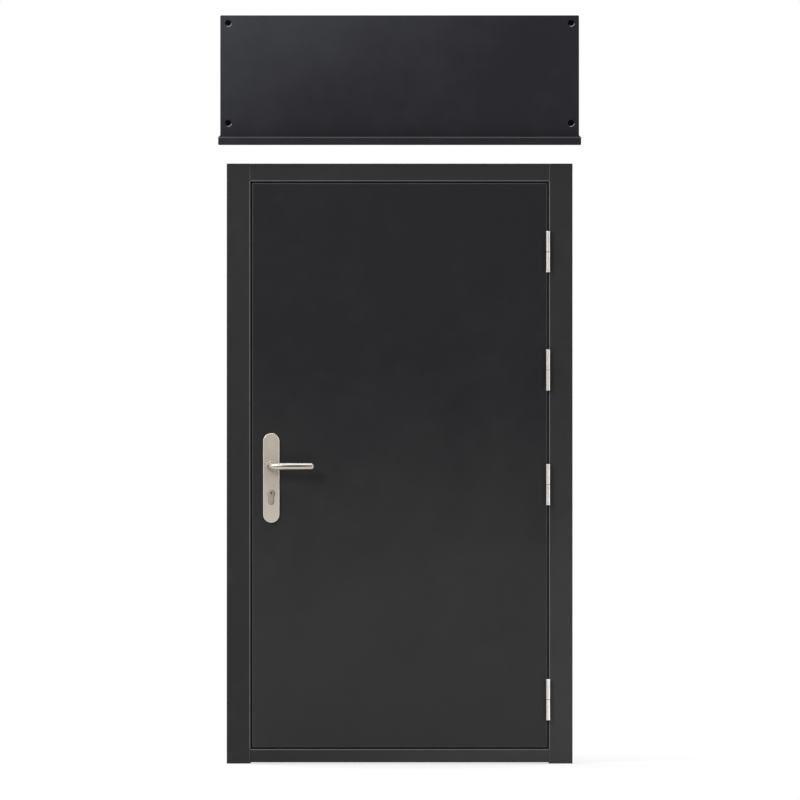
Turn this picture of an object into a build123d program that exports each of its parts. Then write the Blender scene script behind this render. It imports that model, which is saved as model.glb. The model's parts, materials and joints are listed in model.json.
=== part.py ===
from build123d import *
from math import cos, radians, sin
import os

# Steel personnel door for a shipping container, hung in its own folded frame, with the flashing above it.
# Millimetres. X runs across the doorway, Y from outside (-) to inside (+), Z up.
# The origin is on the floor line, midway between the jambs, in the middle of the leaf's thickness.

os.makedirs("parts", exist_ok=True)

# Frame, folded from sheet
frame_width = 1153.0
frame_height = 2000.0
frame_depth = 100.0
frame_sheet = 2.0
frame_bend = 4.0
jamb_face = 79.5
head_face = 60.0
sill_face = 45.0
sill_lift = 4.0
stop_width = 18.0
outer_lip = 25.0
back_lip = 30.0
fixing_hole = 11.0
fixing_depth_pitch = 46.0
fixing_inset = 200.0

# Leaf, a tray and a lid on a core
leaf_gap = 4.0
leaf_thickness = 46.0
skin = 1.5
skin_bend = 4.0
lid_edge_round = 0.6
stile_thickness = 4.0

# Seals on the stop
seal_gap = 3.0
seal_width = 8.0
seal_margin = 4.5
seal_round = 0.8

# Hinges, in two knuckles that lift apart
hinge_top_drop = 230.0
hinge_bottom_rise = 160.0
hinge_place_shares = (0.0, 0.264, 0.52, 1.0)
hinge_length = 137.0
hinge_stand = 9.0
knuckle_diameter = 14.5
cap_diameter = 16.0
cap_height = 4.0
cap_round = 1.2
washer_height = 1.5
pin_diameter = 8.0
pin_top_room = 4.0
wing_thickness = 2.5
wing_reach = 46.0
hinge_screw_reach = 32.0
hinge_screw_pitch = 36.0
hinge_screw_shank = 5.0
hinge_screw_head = 9.2
hinge_screw_length = 9.0
backing_thickness = 4.0
backing_width = 26.0

# Lock and its places
backset = 65.0
lever_height = 991.0
cylinder_drop = 92.0
forend_thickness = 3.0
forend_width = 24.0
forend_length = 235.0
forend_screw_inset = 9.0
case_depth = 92.0
case_thickness = 17.0
case_wall = 1.5
case_rise = 62.0
case_fall = 45.0
pocket_margin = 6.0
lock_screw_shank = 5.0
lock_screw_head = 8.8
forend_screw_length = 12.0
strike_thickness = 2.0
strike_width = 24.0
strike_length = 170.0
strike_screw_inset = 10.0
strike_screw_length = 10.0
strike_room = 2.0

# Latch and dead bolt
latch_throw = 12.0
latch_rise = 20.0
latch_head_length = 20.0
latch_head_height = 25.0
latch_tail_height = 11.5
latch_tail_end = 12.0
latch_slot_room = 5.0
latch_push_gap = 1.0
bolt_thickness = 12.0
dead_bolt_drop = 50.0
dead_bolt_height = 22.0
dead_bolt_length = 59.0
dead_bolt_sunk = 0.5

# Follower and spindle
spindle_side = 9.0
spindle_socket = 22.0
follower_diameter = 22.0
follower_neck = 18.0
follower_arm_reach = 17.5
follower_arm_width = 6.0
follower_arm_thickness = 8.0

# Plates, bushes and levers
plate_width = 54.0
plate_length = 298.0
plate_thickness = 8.0
plate_round = 1.5
plate_drop = 39.0
plate_screw_pitch = 262.0
plate_screw_shank = 6.0
plate_screw_head = 11.0
plate_boss = 11.0
plate_boss_depth = 14.0
bush_diameter = 34.0
bush_height = 4.0
bush_round = 2.5
bar_diameter = 24.6
neck_length = 11.5
bar_bend = 14.0
bar_bow_angle = 15.0
lever_reach = 142.0
lever_cap_length = 9.0
lever_cap_round = 8.0
guard_radius = 12.2
guard_stem = 17.5
guard_fall = 35.0
guard_height = 2.0
guard_round = 0.8
guard_gap = 1.1

# Profile cylinder
cylinder_radius = 8.5
cylinder_stem = 10.0
cylinder_fall = 24.5
plug_diameter = 13.0
keyway_width = 3.6
keyway_height = 8.0
keyway_depth = 20.0
cam_width = 10.0
cam_reach = 15.5
cam_nose_width = 8.0
cylinder_screw_drop = 19.5

# Over-panel, a folded flashing fixed to the wall above the frame
panel_gap = 61.0
panel_width = 1196.0
panel_height = 433.0
panel_sheet = 2.0
panel_bend = 3.5
panel_corner = 4.0
lip_side = 6.5
lip_height = 26.0
lip_reach = 32.0
ledge_fall = 0.8
panel_screw_inset = 26.5
panel_screw_drop = 25.5
panel_screw_rise = 74.0
cup_diameter = 20.0
cup_depth = 9.0
cup_wall = 1.5
cup_rim = 1.8
cup_hole = 11.0
panel_screw_head = 19.0
panel_screw_head_height = 4.0
panel_screw_shank = 8.0
panel_screw_length = 30.0
panel_screw_socket = 6.0
socket_depth = 2.5

# Clearances, and the overrun that carries a cut past its faces
running = 0.05
slack = 0.2
clear = 0.3
overrun = 5.0

# Places that follow from the sizes
front = -leaf_thickness / 2
back = leaf_thickness / 2
rebate_depth = leaf_thickness + seal_gap
stop_face = front + rebate_depth
jamb_inner = frame_width / 2 - jamb_face
reveal_inner = jamb_inner - stop_width
head_inner = frame_height - head_face
sill_top = sill_lift + sill_face
leaf_half = jamb_inner - leaf_gap
leaf_top = head_inner - leaf_gap
leaf_bottom = sill_top + leaf_gap
leaf_height = leaf_top - leaf_bottom
leaf_middle = (leaf_top + leaf_bottom) / 2
hinge_x = leaf_half + leaf_gap / 2
hinge_y = front - hinge_stand
hinge_highest = leaf_top - hinge_top_drop
hinge_span = hinge_highest - leaf_bottom - hinge_bottom_rise
hinge_heights = [hinge_highest - share * hinge_span for share in hinge_place_shares]
fixing_height_pitch = frame_height - 2 * fixing_inset
knuckle_length = (hinge_length - washer_height) / 2 - cap_height
wing_middle = (washer_height + knuckle_length) / 2
lock_x = backset - leaf_half
cylinder_height = lever_height - cylinder_drop
plate_height = lever_height - plate_drop
case_front = forend_thickness - leaf_half
case_back = case_front + case_depth
case_top = lever_height + case_rise
case_bottom = cylinder_height - case_fall
case_middle = (case_top + case_bottom) / 2
latch_height = lever_height + latch_rise
dead_bolt_height_mid = lever_height - dead_bolt_drop
strike_middle = (latch_height + dead_bolt_height_mid) / 2
panel_bottom = frame_height + panel_gap
panel_top = panel_bottom + panel_height
lip_width = panel_width + 2 * lip_side
panel_screw_pitch_x = panel_width - 2 * panel_screw_inset
panel_screw_pitch_z = panel_height - panel_screw_drop - panel_screw_rise
panel_screw_middle = (panel_top - panel_screw_drop + panel_bottom + panel_screw_rise) / 2

# Planes that look out of each face: local x across, local y up, local z away from the leaf
outside = Plane(origin=(lock_x, front, lever_height), x_dir=(1, 0, 0), z_dir=(0, -1, 0))
inside = Plane(origin=(lock_x, back, lever_height), x_dir=(-1, 0, 0), z_dir=(0, 1, 0))
lock_edge = Plane(origin=(-leaf_half, 0, case_middle), x_dir=(0, -1, 0), z_dir=(-1, 0, 0))
follower_plane = Plane(origin=(lock_x, 0, lever_height), x_dir=(1, 0, 0), z_dir=(0, -1, 0))


# Screws: head, shank, length
hinge_screw = (hinge_screw_head, hinge_screw_shank, hinge_screw_length)
strike_screw = (lock_screw_head, lock_screw_shank, strike_screw_length)
forend_screw = (lock_screw_head, lock_screw_shank, forend_screw_length)
cylinder_screw_size = (lock_screw_head, lock_screw_shank, backset + cylinder_stem / 2)
plate_screw = (plate_screw_head, plate_screw_shank, plate_thickness + leaf_thickness - slack)
from_top = (Align.CENTER, Align.CENTER, Align.MAX)


def save(builder, name):
    """Label a finished piece and write it to its own file."""
    builder.part.label = name
    export_step(builder.part, f"parts/{name}.step")


def block(low, high, mode=Mode.ADD):
    """Box between two corners."""
    size = [b - a for a, b in zip(low, high)]
    middle = tuple((a + b) / 2 for a, b in zip(low, high))
    with Locations(middle):
        Box(*size, mode=mode)


def screw_group(planes, screw):
    """Countersunk screws with their heads flush on the given planes."""
    head, shank, length = screw
    with BuildPart() as screws:
        with Locations(*planes):
            Cone(shank / 2, head / 2, (head - shank) / 2, align=from_top)
            Cylinder(shank / 2, length, align=from_top)
    return screws


def screw_holes(planes, screw):
    """Countersunk holes for such screws in the piece that is being built."""
    head, shank, length = screw
    with Locations(*planes):
        CounterSinkHole(shank / 2 + running, head / 2 + running, length, counter_sink_angle=90)


def screw_clearance(planes, screw, past=overrun):
    """Plain round holes along the same screws."""
    _, shank, length = screw
    with Locations(*planes):
        Cylinder(shank / 2 + running, length + past, align=from_top, mode=Mode.SUBTRACT)


def profile(radius, stem, fall, centre=0):
    """Keyhole outline of a profile cylinder in the sketch that is being drawn."""
    with Locations((0, centre)):
        Circle(radius)
    with Locations((0, centre - (fall - stem / 2) / 2)):
        Rectangle(stem, fall - stem / 2)
    with Locations((0, centre - fall + stem / 2)):
        Circle(stem / 2)


def cylinder_opening():
    """Hole for the cylinder in the sketch that is being drawn, below the lever's axis."""
    profile(cylinder_radius + slack, cylinder_stem + 2 * slack, cylinder_fall + slack, -cylinder_drop)


# Frame members

def frame_section(face):
    """Folded section: x from the outside of the frame to the opening, y from front to back."""
    half = frame_sheet / 2
    rebate_line = face - half
    reveal_line = face + stop_width - half
    back_line = frame_depth - half
    stop_line = rebate_depth + half
    with BuildSketch() as section:
        with BuildLine():
            FilletPolyline(
                (outer_lip, back_line),
                (half, back_line),
                (half, half),
                (rebate_line, half),
                (rebate_line, stop_line),
                (reveal_line, stop_line),
                (reveal_line, back_line),
                (reveal_line - back_lip, back_line),
                radius=frame_bend - half,
            )
        trace(line_width=frame_sheet)
    return section.sketch


def fixing_holes(x):
    """Holes through a jamb's outer web, for the wall fixings."""
    web = Plane(origin=(x, front + frame_depth / 2, frame_height / 2), x_dir=(0, 1, 0), z_dir=(1, 0, 0))
    with BuildSketch(web) as holes:
        with GridLocations(fixing_depth_pitch, fixing_height_pitch, 2, 2):
            Circle(fixing_hole / 2)
    extrude(holes.sketch, amount=frame_sheet + overrun, both=True, mode=Mode.SUBTRACT)


def trim_foot(side):
    """Cut a jamb's stop level with the underside of the sill; side is -1 for the lock jamb."""
    ends = sorted((side * (reveal_inner - overrun), side * jamb_inner))
    block(
        (ends[0], front - overrun, -overrun),
        (ends[1], front + frame_depth + overrun, sill_lift),
        mode=Mode.SUBTRACT,
    )


def hinge_screw_planes(x, z_dir, side):
    """Heads of the hinge screws on one wing of every hinge; side is +1 for the upper wing."""
    return [
        Plane(origin=(x, hinge_y + hinge_screw_reach, height + side * wing_middle + step), z_dir=z_dir)
        for height in hinge_heights
        for step in (-hinge_screw_pitch / 2, hinge_screw_pitch / 2)
    ]


door_screw_planes = hinge_screw_planes(leaf_half + wing_thickness, (1, 0, 0), 1)
frame_screw_planes = hinge_screw_planes(jamb_inner - wing_thickness, (-1, 0, 0), -1)


with BuildPart() as lock_jamb:
    with BuildSketch(Plane(origin=(-frame_width / 2, front, 0), x_dir=(1, 0, 0), z_dir=(0, 0, 1))):
        add(frame_section(jamb_face))
    extrude(amount=frame_height)
    fixing_holes(-frame_width / 2)
    trim_foot(-1)
    for middle, height in ((latch_height, latch_head_height), (dead_bolt_height_mid, dead_bolt_height)):
        with Locations((-jamb_inner, 0, middle)):
            Box(
                2 * frame_sheet + overrun,
                bolt_thickness + 2 * strike_room,
                height + 2 * strike_room,
                mode=Mode.SUBTRACT,
            )
    strike_ends = (strike_length / 2 - strike_screw_inset, strike_screw_inset - strike_length / 2)
    strike_screw_planes = [
        Plane(origin=(-jamb_inner, 0, strike_middle + end), z_dir=(1, 0, 0))
        for end in strike_ends
    ]
    screw_holes(strike_screw_planes, strike_screw)
save(lock_jamb, "lock_jamb")

with BuildPart() as hinge_jamb:
    hinge_jamb_top = (frame_width / 2, front, frame_height)
    with BuildSketch(Plane(origin=hinge_jamb_top, x_dir=(-1, 0, 0), z_dir=(0, 0, -1))):
        add(frame_section(jamb_face))
    extrude(amount=frame_height)
    fixing_holes(frame_width / 2)
    trim_foot(1)
    screw_clearance(frame_screw_planes, hinge_screw)
save(hinge_jamb, "hinge_jamb")


def cope(low, high):
    """Cut a cross member's ends back to the jambs' reveals behind the stop, and round the jambs' bends."""
    bend_room = frame_bend - frame_sheet
    for side in (-1, 1):
        for x, y in ((reveal_inner, stop_face), (jamb_inner - bend_room, stop_face - bend_room)):
            ends = sorted((side * x, side * (jamb_inner + overrun)))
            block(
                (ends[0], y, low - overrun),
                (ends[1], front + frame_depth + overrun, high + overrun),
                mode=Mode.SUBTRACT,
            )


with BuildPart() as head:
    with BuildSketch(Plane(origin=(-jamb_inner, front, frame_height), x_dir=(0, 0, -1), z_dir=(1, 0, 0))):
        add(frame_section(head_face))
    extrude(amount=2 * jamb_inner)
    cope(head_inner - stop_width, frame_height)
save(head, "head")

with BuildPart() as sill:
    with BuildSketch(Plane(origin=(jamb_inner, front, sill_lift), x_dir=(0, 0, 1), z_dir=(-1, 0, 0))):
        add(frame_section(sill_face))
    extrude(amount=2 * jamb_inner)
    cope(sill_lift, sill_top + stop_width)
save(sill, "sill")

# Seal strips on the four stops

seal_in = reveal_inner + seal_margin
seal_out = seal_in + seal_width
seal_high = head_inner - stop_width + seal_margin
seal_low = sill_top + stop_width - seal_margin
seal_boxes = {
    "lock_side_seal": (-seal_out, -seal_in, seal_low, seal_high),
    "hinge_side_seal": (seal_in, seal_out, seal_low, seal_high),
    "head_seal": (-seal_out, seal_out, seal_high, seal_high + seal_width),
    "sill_seal": (-seal_out, seal_out, seal_low - seal_width, seal_low),
}
for seal_name, (left, right, low, high) in seal_boxes.items():
    with BuildPart() as seal:
        block((left, back + clear, low), (right, stop_face, high))
        fillet(seal.faces().sort_by(Axis.Y)[0].edges(), seal_round)
    save(seal, seal_name)

# Strike plate, behind the jamb's wall

strike_face = -jamb_inner - frame_sheet

with BuildPart() as strike_plate:
    block(
        (strike_face - strike_thickness, -strike_width / 2, strike_middle - strike_length / 2),
        (strike_face, strike_width / 2, strike_middle + strike_length / 2),
    )
    for middle, height in ((latch_height, latch_head_height), (dead_bolt_height_mid, dead_bolt_height)):
        with Locations((strike_face, 0, middle)):
            Box(
                2 * strike_thickness + overrun,
                bolt_thickness + strike_room,
                height + strike_room,
                mode=Mode.SUBTRACT,
            )
    screw_clearance(strike_screw_planes, strike_screw)
save(strike_plate, "strike_plate")
save(screw_group(strike_screw_planes, strike_screw), "strike_screws")

# Hinges

for number, height in enumerate(hinge_heights, start=1):
    upper = height + washer_height / 2
    lower = height - washer_height / 2
    upper_end = upper + knuckle_length
    lower_end = lower - knuckle_length

    with BuildPart() as door_half:
        with BuildSketch(Plane(origin=(hinge_x, hinge_y, upper))):
            Circle(knuckle_diameter / 2)
        extrude(amount=knuckle_length)
        with BuildSketch(Plane(origin=(hinge_x, hinge_y, upper_end))):
            Circle(cap_diameter / 2)
        extrude(amount=cap_height)
        fillet(door_half.faces().sort_by(Axis.Z)[-1].edges(), cap_round)
        block((leaf_half, hinge_y, upper), (leaf_half + wing_thickness, hinge_y + wing_reach, upper_end))
        with BuildSketch(Plane(origin=(hinge_x, hinge_y, upper))):
            Circle(pin_diameter / 2 + running)
        extrude(amount=knuckle_length, mode=Mode.SUBTRACT)
        screw_holes(door_screw_planes[2 * number - 2:2 * number], hinge_screw)
    save(door_half, f"hinge_{number}_door_half")

    with BuildPart() as frame_half:
        with BuildSketch(Plane(origin=(hinge_x, hinge_y, lower_end))):
            Circle(knuckle_diameter / 2)
        extrude(amount=knuckle_length)
        block((jamb_inner - wing_thickness, hinge_y, lower_end), (jamb_inner, hinge_y + wing_reach, lower))
        with BuildSketch(Plane(origin=(hinge_x, hinge_y, lower_end))):
            Circle(pin_diameter / 2 + running)
        extrude(amount=knuckle_length, mode=Mode.SUBTRACT)
        screw_holes(frame_screw_planes[2 * number - 2:2 * number], hinge_screw)
    save(frame_half, f"hinge_{number}_frame_half")

    with BuildPart() as pin:
        with BuildSketch(Plane(origin=(hinge_x, hinge_y, lower_end - cap_height))):
            Circle(cap_diameter / 2)
        extrude(amount=cap_height)
        fillet(pin.faces().sort_by(Axis.Z)[0].edges(), cap_round)
        with BuildSketch(Plane(origin=(hinge_x, hinge_y, lower_end))):
            Circle(pin_diameter / 2)
        extrude(amount=2 * knuckle_length + washer_height - pin_top_room)
    save(pin, f"hinge_{number}_pin")

    with BuildPart() as washer:
        with BuildSketch(Plane(origin=(hinge_x, hinge_y, lower))):
            Circle(cap_diameter / 2)
            Circle(pin_diameter / 2 + running, mode=Mode.SUBTRACT)
        extrude(amount=washer_height)
    save(washer, f"hinge_{number}_washer")

with BuildPart() as jamb_hinge_backing:
    for height in hinge_heights:
        low = height - washer_height / 2 - knuckle_length
        middle = hinge_y + hinge_screw_reach
        near = jamb_inner + frame_sheet
        block(
            (near, middle - backing_width / 2, low),
            (near + backing_thickness, middle + backing_width / 2, low + knuckle_length),
        )
    screw_clearance(frame_screw_planes, hinge_screw)
save(jamb_hinge_backing, "jamb_hinge_backing")
save(screw_group(frame_screw_planes, hinge_screw), "frame_hinge_screws")
save(screw_group(door_screw_planes, hinge_screw), "door_hinge_screws")

# Leaf

plate_screw_rows = (plate_screw_pitch / 2 - plate_drop, -plate_screw_pitch / 2 - plate_drop)
neck_hole = bar_diameter / 2 + clear


def leaf_cuts(bolt_radius):
    """Holes that the lever, the cylinder and the plate's bolts need through a face."""
    Circle(neck_hole)
    cylinder_opening()
    with Locations(*[(0, row) for row in plate_screw_rows]):
        Circle(bolt_radius + slack)


with BuildPart() as outer_skin:
    with BuildSketch(Plane.XZ.offset(skin - back)):
        with Locations((0, leaf_middle)):
            Rectangle(2 * leaf_half, leaf_height)
    extrude(amount=leaf_thickness - skin)
    fillet(outer_skin.faces().sort_by(Axis.Y)[0].edges(), skin_bend)
    offset(amount=-skin, openings=outer_skin.faces().sort_by(Axis.Y)[-1])
    with BuildSketch(outside):
        leaf_cuts(plate_boss / 2)
    extrude(amount=skin + overrun, both=True, mode=Mode.SUBTRACT)
    with BuildSketch(lock_edge):
        RectangleRounded(forend_width + 2 * slack, forend_length + 2 * slack, forend_thickness)
    extrude(amount=skin + overrun, both=True, mode=Mode.SUBTRACT)
    screw_clearance(door_screw_planes, hinge_screw)
save(outer_skin, "outer_skin")

with BuildPart() as inner_skin:
    block((-leaf_half, back - skin, leaf_bottom), (leaf_half, back, leaf_top))
    fillet(inner_skin.faces().sort_by(Axis.Y)[-1].edges(), lid_edge_round)
    with BuildSketch(inside):
        leaf_cuts(plate_screw_shank / 2)
    extrude(amount=skin + overrun, both=True, mode=Mode.SUBTRACT)
save(inner_skin, "inner_skin")

stile_out = leaf_half - skin
stile_in = stile_out - stile_thickness
fill_front = front + skin
fill_back = back - skin
fill_low = leaf_bottom + skin
fill_high = leaf_top - skin
bolt_edge_planes = [
    Plane(origin=(-leaf_half, 0, case_middle + end), z_dir=(-1, 0, 0))
    for end in (forend_length / 2 - forend_screw_inset, forend_screw_inset - forend_length / 2)
]
stile_front = front + skin_bend

with BuildPart() as hinge_stile:
    block((stile_in, stile_front, fill_low), (stile_out, fill_back, fill_high))
    screw_clearance(door_screw_planes, hinge_screw)
save(hinge_stile, "hinge_stile")

with BuildPart() as lock_stile:
    block((-stile_out, stile_front, fill_low), (-stile_in, fill_back, fill_high))
    with BuildSketch(lock_edge):
        RectangleRounded(forend_width + 2 * slack, forend_length + 2 * slack, forend_thickness)
    extrude(amount=-forend_thickness, mode=Mode.SUBTRACT)
    with BuildSketch(lock_edge):
        Rectangle(case_thickness + 2 * slack, case_top - case_bottom + 2 * slack)
    extrude(amount=-(skin + stile_thickness + overrun), mode=Mode.SUBTRACT)
    screw_clearance(bolt_edge_planes, forend_screw)
save(lock_stile, "lock_stile")

plate_reach = plate_length / 2 + pocket_margin

with BuildPart() as core:
    block((-stile_in, fill_front, fill_low), (stile_in, fill_back, fill_high))
    fillet(core.faces().sort_by(Axis.Y)[0].edges().filter_by(Axis.X), skin_bend)
    block(
        (-stile_in - overrun, fill_front - overrun, plate_height - plate_reach),
        (case_back + pocket_margin, fill_back + overrun, plate_height + plate_reach),
        mode=Mode.SUBTRACT,
    )
    screw_clearance(door_screw_planes, hinge_screw)
save(core, "core")

# Mortise lock: case, cover, forend and bolts

cylinder_screw_head = (-leaf_half, 0, cylinder_height - cylinder_screw_drop)
cylinder_screw_plane = Plane(origin=cylinder_screw_head, z_dir=(-1, 0, 0))
case_half = case_thickness / 2
bolt_windows = ((latch_height, latch_head_height), (dead_bolt_height_mid, dead_bolt_height))


def case_cuts(depth):
    """Follower bearing and cylinder hole through a side of the lock case."""
    with BuildSketch(follower_plane) as holes:
        Circle(follower_neck / 2 + running)
        cylinder_opening()
    extrude(holes.sketch, amount=depth, both=True, mode=Mode.SUBTRACT)


def bolt_cuts(x):
    """Windows for the bolts through a plate at this place on X."""
    for middle, height in bolt_windows:
        with Locations((x, 0, middle)):
            Box(
                2 * forend_thickness + overrun,
                bolt_thickness + 2 * clear,
                height + 2 * clear,
                mode=Mode.SUBTRACT,
            )


with BuildPart() as lock_case:
    block((case_front, -case_half, case_bottom), (case_back, case_half - case_wall, case_top))
    block(
        (case_front + case_wall, case_wall - case_half, case_bottom + case_wall),
        (case_back - case_wall, case_half + overrun, case_top - case_wall),
        mode=Mode.SUBTRACT,
    )
    case_cuts(case_thickness)
    bolt_cuts(case_front)
    screw_clearance([cylinder_screw_plane], cylinder_screw_size)
save(lock_case, "lock_case")

with BuildPart() as lock_cover:
    block((case_front, case_half - case_wall, case_bottom), (case_back, case_half, case_top))
    case_cuts(case_thickness)
save(lock_cover, "lock_cover")

with BuildPart() as forend:
    with BuildSketch(lock_edge):
        RectangleRounded(forend_width, forend_length, forend_thickness)
    extrude(amount=-forend_thickness)
    bolt_cuts(case_front)
    screw_holes(bolt_edge_planes, forend_screw)
    screw_holes([cylinder_screw_plane], forend_screw)
save(forend, "forend")
save(screw_group(bolt_edge_planes, forend_screw), "forend_screws")
save(screw_group([cylinder_screw_plane], cylinder_screw_size), "cylinder_screw")

with BuildPart() as latch_bolt:
    tail_low = lever_height + latch_rise - latch_head_height / 2 + latch_slot_room
    head_back = latch_head_length - leaf_half
    with BuildSketch(Plane.XY.offset(latch_height - latch_head_height / 2)):
        with BuildLine():
            Polyline(
                (-leaf_half - latch_throw, -bolt_thickness / 2),
                (head_back, -bolt_thickness / 2),
                (head_back, bolt_thickness / 2),
                (-leaf_half, bolt_thickness / 2),
                close=True,
            )
        make_face()
    extrude(amount=latch_head_height)
    block(
        (head_back, slack - bolt_thickness / 2, tail_low),
        (lock_x + latch_tail_end, bolt_thickness / 2 - slack, tail_low + latch_tail_height),
    )
    block(
        (lock_x - follower_arm_width / 2 - latch_slot_room, -bolt_thickness, tail_low - overrun),
        (
            lock_x + follower_arm_width / 2 + latch_push_gap,
            bolt_thickness,
            lever_height + follower_arm_reach + latch_push_gap,
        ),
        mode=Mode.SUBTRACT,
    )
save(latch_bolt, "latch_bolt")

with BuildPart() as dead_bolt:
    block(
        (dead_bolt_sunk - leaf_half, -bolt_thickness / 2, dead_bolt_height_mid - dead_bolt_height / 2),
        (dead_bolt_length - leaf_half, bolt_thickness / 2, dead_bolt_height_mid + dead_bolt_height / 2),
    )
save(dead_bolt, "dead_bolt")

# Follower and spindle

spindle_end = leaf_thickness / 2 + spindle_socket

with BuildPart() as follower:
    with BuildSketch(follower_plane):
        Circle(follower_neck / 2)
    extrude(amount=case_half, both=True)
    with BuildSketch(follower_plane):
        Circle(follower_diameter / 2)
    extrude(amount=case_half - case_wall - clear, both=True)
    with BuildSketch(follower_plane):
        with Locations((0, follower_arm_reach / 2)):
            Rectangle(follower_arm_width, follower_arm_reach)
    extrude(amount=follower_arm_thickness / 2, both=True)
    with BuildSketch(follower_plane):
        Rectangle(spindle_side + 2 * running, spindle_side + 2 * running)
    extrude(amount=case_thickness, both=True, mode=Mode.SUBTRACT)
save(follower, "follower")

with BuildPart() as spindle:
    with BuildSketch(follower_plane):
        Rectangle(spindle_side, spindle_side)
    extrude(amount=spindle_end, both=True)
save(spindle, "spindle")

# Plates, bushes, levers and caps, the same on both faces


def lock_plate(plane):
    """Long plate with round ends and a softened rim, open round the lever and the cylinder's guard."""
    with BuildPart() as plate:
        with BuildSketch(plane):
            with Locations((0, -plate_drop)):
                SlotOverall(plate_length, plate_width, rotation=90)
        extrude(amount=plate_thickness)
        fillet(plate.faces().sort_by(Axis(plane.origin, plane.z_dir))[-1].edges(), plate_round)
        with BuildSketch(plane):
            Circle(neck_hole)
            gap = guard_gap
            profile(guard_radius + gap, guard_stem + 2 * gap, guard_fall + gap, -cylinder_drop)
        extrude(amount=plate_thickness + overrun, mode=Mode.SUBTRACT)
    return plate


def cylinder_guard(plane):
    """Collar that stands a little proud of the plate and closes round the cylinder."""
    with BuildPart() as guard:
        with BuildSketch(plane):
            profile(guard_radius, guard_stem, guard_fall, -cylinder_drop)
        extrude(amount=plate_thickness + guard_height)
        fillet(guard.faces().sort_by(Axis(plane.origin, plane.z_dir))[-1].edges(), guard_round)
        with BuildSketch(plane):
            cylinder_opening()
        extrude(amount=plate_thickness + guard_height + overrun, mode=Mode.SUBTRACT)
    return guard


save(cylinder_guard(outside), "outside_guard")
save(cylinder_guard(inside), "inside_guard")


plate_screw_planes = [
    Plane(origin=(lock_x, back + plate_thickness, lever_height + row), x_dir=(-1, 0, 0), z_dir=(0, 1, 0))
    for row in plate_screw_rows
]

with BuildPart() as outside_plate:
    add(lock_plate(outside).part)
    with BuildSketch(outside):
        with Locations(*[(0, row) for row in plate_screw_rows]):
            Circle(plate_boss / 2)
    extrude(amount=-plate_boss_depth)
    screw_clearance(plate_screw_planes, plate_screw, past=0)
save(outside_plate, "outside_plate")

with BuildPart() as inside_plate:
    add(lock_plate(inside).part)
    screw_holes(plate_screw_planes, plate_screw)
save(inside_plate, "inside_plate")
save(screw_group(plate_screw_planes, plate_screw), "plate_screws")

bow = radians(bar_bow_angle)
neck_top = plate_thickness + bush_height + neck_length
bend_end = (bar_bend * (1 - sin(bow)), neck_top + bar_bend * cos(bow))
bow_radius = (lever_reach - lever_cap_length * cos(bow) - bend_end[0]) / (2 * sin(bow))

for side_name, plane, turn in (("outside", outside, -1), ("inside", inside, 1)):
    route = Plane(origin=plane.origin, x_dir=(1, 0, 0), z_dir=(0, 0, turn))

    with BuildPart() as bush:
        with BuildSketch(plane.offset(plate_thickness)):
            Circle(bush_diameter / 2)
        extrude(amount=bush_height)
        fillet(bush.faces().sort_by(Axis(plane.origin, plane.z_dir))[-1].edges(), bush_round)
        with BuildSketch(plane.offset(plate_thickness)):
            Circle(bar_diameter / 2 + running)
        extrude(amount=bush_height, mode=Mode.SUBTRACT)
    save(bush, f"{side_name}_bush")

    with BuildPart() as lever:
        with BuildLine(route) as bar_line:
            Line((0, running), (0, neck_top))
            JernArc((0, neck_top), (0, 1), bar_bend, bar_bow_angle - 90)
            JernArc(bend_end, (cos(bow), sin(bow)), bow_radius, -2 * bar_bow_angle)
        with BuildSketch(plane.offset(running)):
            Circle(bar_diameter / 2)
        sweep(path=bar_line.line)
        with BuildSketch(plane):
            Rectangle(spindle_side + 2 * running, spindle_side + 2 * running)
        extrude(amount=spindle_socket + running, mode=Mode.SUBTRACT)
    save(lever, f"{side_name}_lever")

    bar_end = bar_line.line @ 1
    with BuildPart() as lever_cap:
        with BuildSketch(Plane(origin=bar_end, z_dir=bar_line.line % 1)):
            Circle(bar_diameter / 2)
        extrude(amount=lever_cap_length)
        fillet(lever_cap.faces().sort_by(Axis(bar_end, bar_line.line % 1))[-1].edges(), lever_cap_round)
    save(lever_cap, f"{side_name}_lever_cap")

# Profile cylinder

cylinder_half = leaf_thickness / 2 + plate_thickness + guard_height
cylinder_plane = Plane(origin=(lock_x, 0, cylinder_height), x_dir=(1, 0, 0), z_dir=(0, -1, 0))
cam_half = cam_width / 2

with BuildPart() as cylinder_body:
    with BuildSketch(cylinder_plane):
        profile(cylinder_radius, cylinder_stem, cylinder_fall)
    extrude(amount=cylinder_half, both=True)
    with BuildSketch(cylinder_plane):
        Circle(plug_diameter / 2 + running)
    extrude(amount=cylinder_half, both=True, mode=Mode.SUBTRACT)
    block(
        (lock_x - cylinder_radius - overrun, -cam_half, cylinder_height - cam_reach - slack),
        (lock_x + cylinder_radius + overrun, cam_half, cylinder_height + cylinder_radius + overrun),
        mode=Mode.SUBTRACT,
    )
    screw_clearance([cylinder_screw_plane], cylinder_screw_size)
save(cylinder_body, "cylinder_body")

for side_name, direction in (("outside", 1), ("inside", -1)):
    with BuildPart() as plug:
        with BuildSketch(cylinder_plane.offset(direction * (cam_half + slack))):
            Circle(plug_diameter / 2)
        extrude(amount=direction * (cylinder_half - cam_half - slack))
        with BuildSketch(cylinder_plane.offset(direction * cylinder_half)):
            with Locations((0, (plug_diameter - keyway_height) / 2)):
                Rectangle(keyway_width, keyway_height)
        extrude(amount=-direction * keyway_depth, mode=Mode.SUBTRACT)
    save(plug, f"{side_name}_plug")

with BuildPart() as cam:
    with BuildSketch(cylinder_plane):
        Circle(cylinder_radius)
        with Locations((0, -cam_reach / 2)):
            Rectangle(cam_nose_width, cam_reach)
        Circle(cam_reach, mode=Mode.INTERSECT)
    extrude(amount=cam_half - slack, both=True)
save(cam, "cam")

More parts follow.
